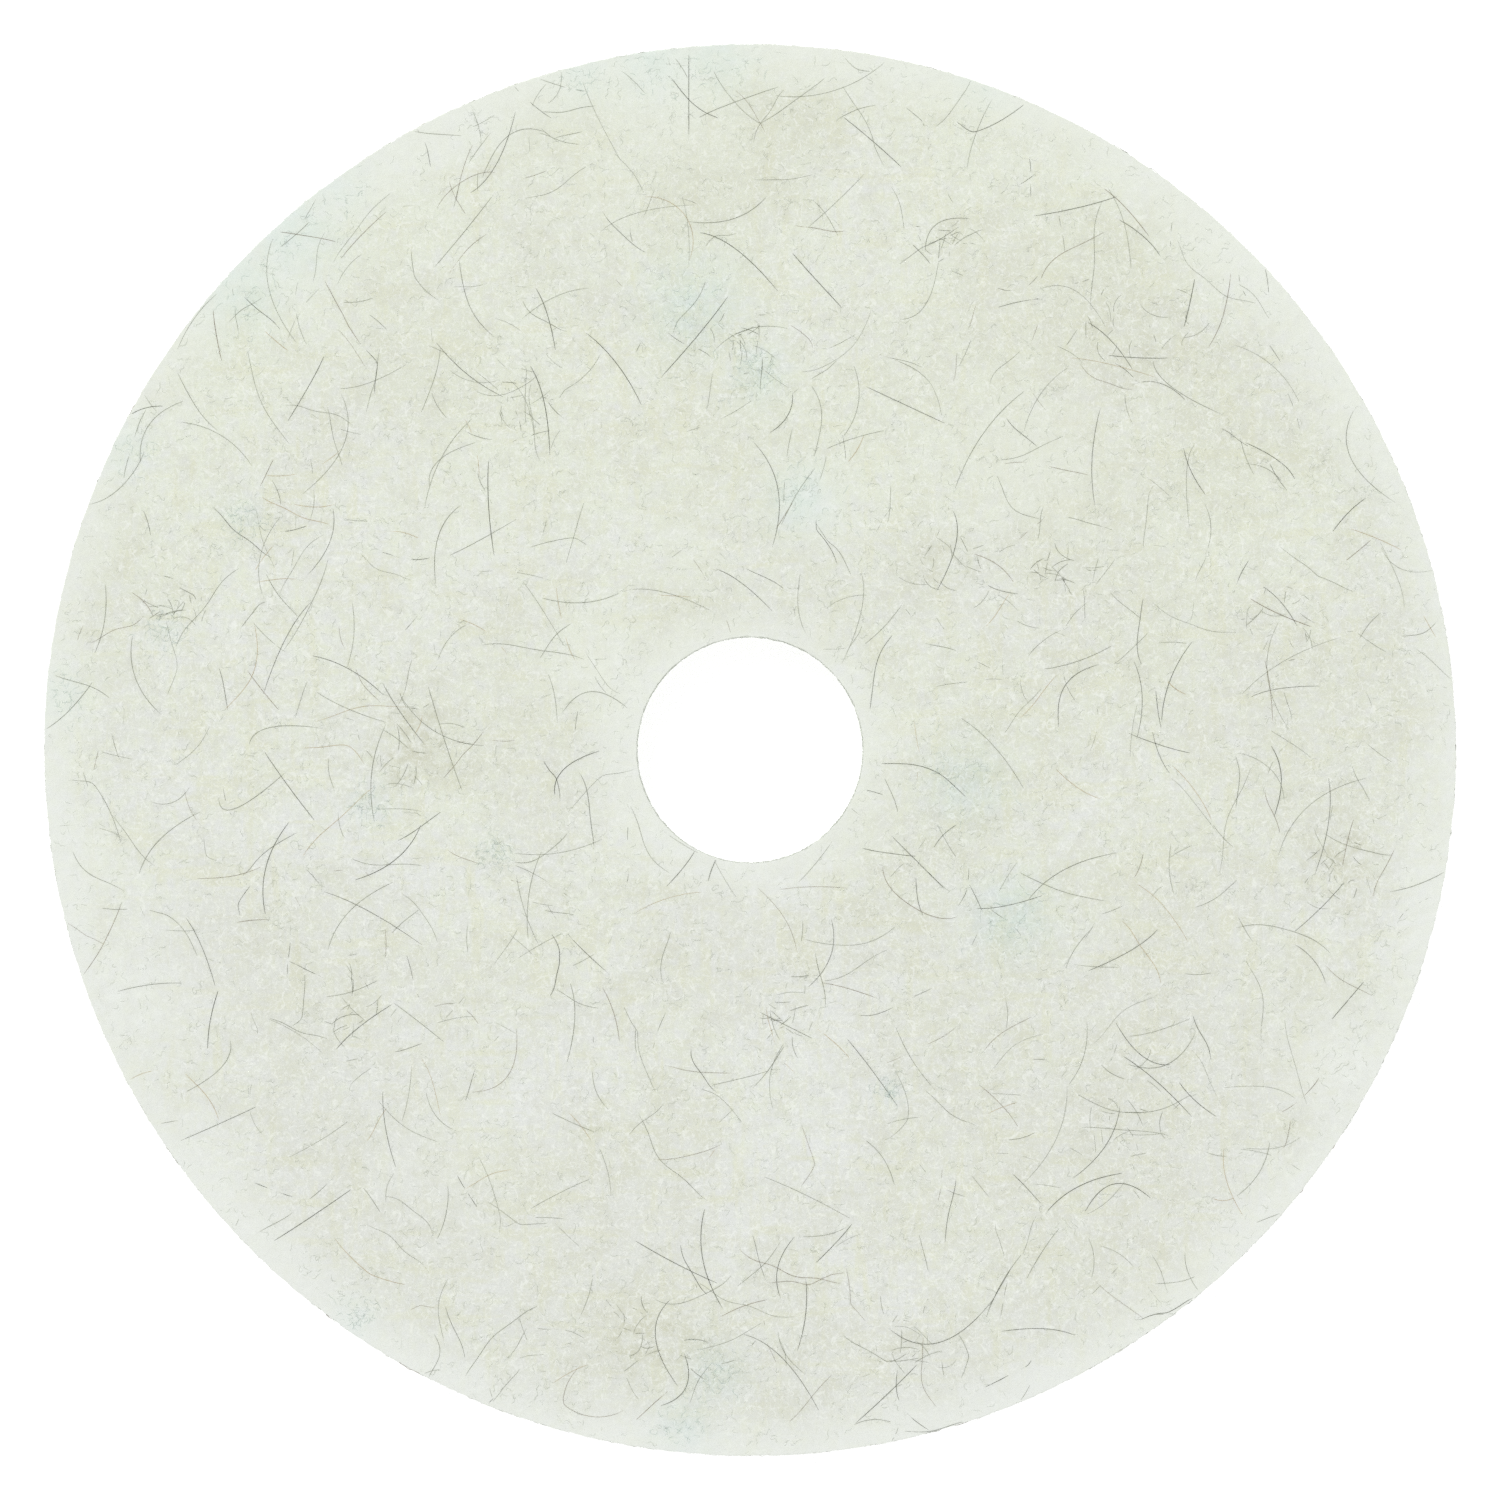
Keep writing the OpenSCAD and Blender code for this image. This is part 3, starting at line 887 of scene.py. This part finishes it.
def darker_clouds(n, x, y):
    """How much darker the web is: small clouds over broad ones, lighter along TONE_DRIFT towards negative x
    and positive y.
    """
    small = n.blend_of(
        (n.noise(8 * MM, detail=4.0, shift=7.0), 0.6),
        (n.noise(2.2 * MM, detail=3.0, shift=6.0), 0.4),
    )
    broad = n.blend_of((x, TONE_DRIFT[0] / PAD_R), (y, TONE_DRIFT[1] / PAD_R))
    broad = n.math("ADD", broad, n.noise(60 * MM, detail=3.0, shift=12.0))
    small = n.spread_out(small, 0.56, 0.36, 0.0, 0.36)
    broad = n.spread_out(broad, 0.62, 0.38, 0.0, 0.26)
    return n.math("ADD", small, broad)


def painted_edge_glow(n, r):
    """Painted glow of light passing through the web near a cut edge, given as a paler colour. The painted
    bands wander in and out.
    """
    aside = n.math("SUBTRACT", n.noise(110 * MM, detail=2.0, shift=2.0), 0.5)
    wander = n.math("MULTIPLY", aside, 0.12 * PAD_R)
    rim = n.spread_out(n.math("ADD", r, wander), 0.91 * PAD_R, 1.01 * PAD_R)
    hole = n.spread_out(n.math("SUBTRACT", r, wander), 0.9 * HOLE_R, 1.6 * HOLE_R, 0.9, 0.0)
    return n.math("MAXIMUM", rim, hole)


def raise_strands(n, lit, sunk, fluff):
    """Bumps: lit strands stand up over the fluff, and sunk ones lie below it."""
    raised = n.blend_of((n.math("MAXIMUM", n.math("MAXIMUM", lit[0], lit[1]), lit[2]), 0.6), (fluff, 0.8))
    raised = n.math("SUBTRACT", raised, n.math("MULTIPLY", sunk, 0.4))
    bump = n.tree.nodes.new("ShaderNodeBump")
    bump.inputs["Strength"].default_value = 0.4
    bump.inputs["Distance"].default_value = 0.16 * MM
    n.feed(bump.inputs["Height"], raised)
    n.feed(n.shader.inputs["Normal"], bump.outputs[0])


def web_material(name, warm, cool, painted=False):
    """Bonded crimped fibre: curling strands over warmer and cooler clouds, with a painted glow of light
    through the web near the cut edges.
    """
    n = Nodes(name)
    fine = n.strands(1.5 * MM, 0.05, 0.0)
    middle = n.strands(2.6 * MM, 0.035, 1.3)
    long = n.strands(4.6 * MM, 0.022, 2.9)
    sunk = n.strands(2.1 * MM, 0.035, 4.1)
    grain = n.wisps(0.9 * MM, 0.52, 0.66, 8.0)
    stain = n.wisps(3.2 * MM, 0.54, 0.68, 10.0)
    blot = n.wisps(7 * MM, 0.56, 0.70, 12.0)
    fluff = n.noise(0.7 * MM, detail=3.0)
    flecks = n.spread_out(fluff, 0.50, 0.64)
    ragged = n.noise(5 * MM, detail=4.0, shift=3.0)
    x, y, r = n.across()
    colour = cool_to_warm(n, y, cool, warm)
    shade = darker_clouds(n, x, y)
    pale = painted_edge_glow(n, r)
    if painted:
        knot = n.math("MULTIPLY", n.painted("knot"), n.spread_out(ragged, 0.40, 0.65, 0.05, 0.40))
        shade = n.math("ADD", shade, knot)
        # painted glow at the listed spots, ragged at its edges
        spot_glow = n.math("MULTIPLY", n.painted("pale"), n.spread_out(ragged, 0.62, 0.38, 0.7, 1.1))
        pale = n.math("MAXIMUM", pale, spot_glow)
    # where the painted glow is strong, less of the pattern shows
    busy = n.math("SUBTRACT", 1.0, n.math("MULTIPLY", pale, 0.6))
    # The sunk strands are painted shade: low strands in the shadow of the others, given a darker tone.
    layers = (
        (blot, 0.55, YELLOW), (stain, 0.3, YELLOW), (shade, 1.0, SHADE),
        (grain, 0.18, FINE_SHADE), (sunk, 0.26, FINE_SHADE),
        (flecks, 0.15, FINE_SHADE), (fine, 0.38, LIGHT), (middle, 0.43, LIGHT), (long, 0.5, LIGHT),
    )
    for pattern, share, tone in layers:
        colour = n.mix(n.math("MULTIPLY", n.math("MULTIPLY", pattern, share), busy), colour, tone)
    # painted glow: light passing through the web near its cut edges and at the listed spots, given as a paler
    # tone
    colour = n.mix(n.math("MULTIPLY", pale, 0.6), colour, PAINTED_GLOW_TONE)
    if painted:
        tuft = n.math("MULTIPLY", n.painted("tuft"), n.spread_out(ragged, 0.35, 0.60, 0.6, 1.0), clamp=True)
        colour = n.mix(tuft, colour, BLUE_GREEN, "MULTIPLY")
    n.feed(n.shader.inputs["Base Color"], colour)
    raise_strands(n, (fine, middle, long), sunk, fluff)
    n.feed(n.shader.inputs["Roughness"], n.spread_out(fluff, 0.3, 0.7, 0.78, 0.95))
    n.shader.inputs["Specular IOR Level"].default_value = 0.25
    n.shader.inputs["Sheen Weight"].default_value = 0.08
    n.shader.inputs["Sheen Roughness"].default_value = 0.5
    return n.material


def fibre_material(name, one, other, roughness, wavelength=9 * MM):
    """Fibre or hair whose tone shifts between two colours along its length."""
    n = Nodes(name)
    share = n.spread_out(n.noise(wavelength, detail=3.0), 0.35, 0.65)
    n.feed(n.shader.inputs["Base Color"], n.mix(share, one, other))
    n.shader.inputs["Roughness"].default_value = roughness
    n.shader.inputs["Specular IOR Level"].default_value = 0.25
    return n.material


def finish(piece, material):
    piece.data.materials.append(material)
    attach(piece, "root")
    return piece


# ---------------------------------------------------------------- putting it together


def add_laps():
    face = web_material("face_web", WARM, COOL, painted=True)
    core = web_material("core_web", CORE_WARM, CORE_COOL)
    for node in LAPS:
        piece = build_lap(node)
        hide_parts(node)
        if "core" in node:
            finish(piece, core)
        else:
            side = 1 if node.startswith("top") else -1
            paint(piece, "tuft", tuft_places(side))
            paint(piece, "knot", knot_places(side))
            # the pale layer holds where the painted glow shows
            paint(piece, "pale", painted_glow_spots(side))
            finish(piece, face)


def add_fibres():
    white = fibre_material("white_fibre", (0.91, 0.93, 0.885, 1), (0.83, 0.86, 0.80, 1), 0.7)
    # painted shade: the white face fibres again in a darker colour, for fibres in shadow within the web
    shadowed = fibre_material("shaded_fibre", (0.70, 0.73, 0.655, 1), (0.77, 0.80, 0.72, 1), 0.7)
    # painted shade: the wall fibres are darker than the faces' white fibres, and the second wall material is
    # a still darker copy of them
    wall_light = fibre_material("wall_fibre", (0.76, 0.78, 0.73, 1), (0.69, 0.72, 0.655, 1), 0.7)
    wall_shaded = fibre_material("wall_shaded_fibre", (0.59, 0.615, 0.55, 1), (0.655, 0.68, 0.61, 1), 0.7)
    for side, word, pieces in ((1, "top", 2), (-1, "bottom", 1)):
        for k in range(pieces):
            finish(face_fibres(f"{word}_crimped_fibres_{k + 1}", 20 + 5 * side + k, side), white)
    finish(face_fibres("top_shaded_fibres", 31, 1), shadowed)
    finish(wall_fibres("rim_fibres_1", 40, 1900, rim_radius, 1), wall_light)
    finish(wall_fibres("rim_fibres_2", 41, 1900, rim_radius, 1), wall_shaded)
    finish(cut_ends("rim_cut_ends", 42, 4200, rim_radius, 1), wall_light)
    finish(wall_fibres("hole_fibres", 43, 700, hole_radius, -1), wall_light)
    finish(cut_ends("hole_cut_ends", 44, 700, hole_radius, -1), wall_light)


def add_hairs():
    black = fibre_material("black_hair", (0.038, 0.042, 0.020, 1), (0.088, 0.096, 0.054, 1), 0.5)
    grey = fibre_material("grey_hair", (0.155, 0.165, 0.110, 1), (0.30, 0.32, 0.235, 1), 0.5)
    brown = fibre_material("brown_hair", (0.17, 0.12, 0.070, 1), (0.28, 0.21, 0.125, 1), 0.4)
    tan = fibre_material("tan_hair", (0.50, 0.36, 0.18, 1), (0.62, 0.49, 0.28, 1), 0.4)
    teal = fibre_material("teal_fibre", (0.71, 0.80, 0.76, 1), (0.78, 0.85, 0.80, 1), 0.6)
    kinds = (
        ("black_hairs", black, "black_hair", 45, (0.047 * MM, 0.075 * MM), 0.5, BLACK_LAID),
        ("grey_hairs", grey, "grey_hair", 330, (0.033 * MM, 0.060 * MM), 0.6, GREY_LAID),
        ("brown_hairs", brown, "brown_hair", 50, (0.035 * MM, 0.065 * MM), 0.5, BROWN_LAID),
        ("tan_hairs", tan, "tan_hair", 24, (0.040 * MM, 0.065 * MM), 0.5, TAN_LAID),
    )
    nowhere = np.zeros((0, 4))
    for s, side in enumerate(("top", "bottom")):
        for k, (kind, material, slot, extra, thick, sunk, laid) in enumerate(kinds):
            knots = knot_places(1 if side == "top" else -1) if kind == "grey_hairs" else nowhere
            piece = hairs(f"{side}_{kind}", 60 + 10 * s + k, extra, thick, sunk, laid, knots)
            finish(piece, material)
        finish(tuft_fibres(f"{side}_teal_fibres", 80 + s), teal)
    finish(rim_hairs("rim_black_hairs", 90, 60), black)
    finish(rim_hairs("rim_brown_hairs", 91, 40), brown)


add_camera()
add_light()
add_floor()
add_laps()
add_fibres()
add_hairs()
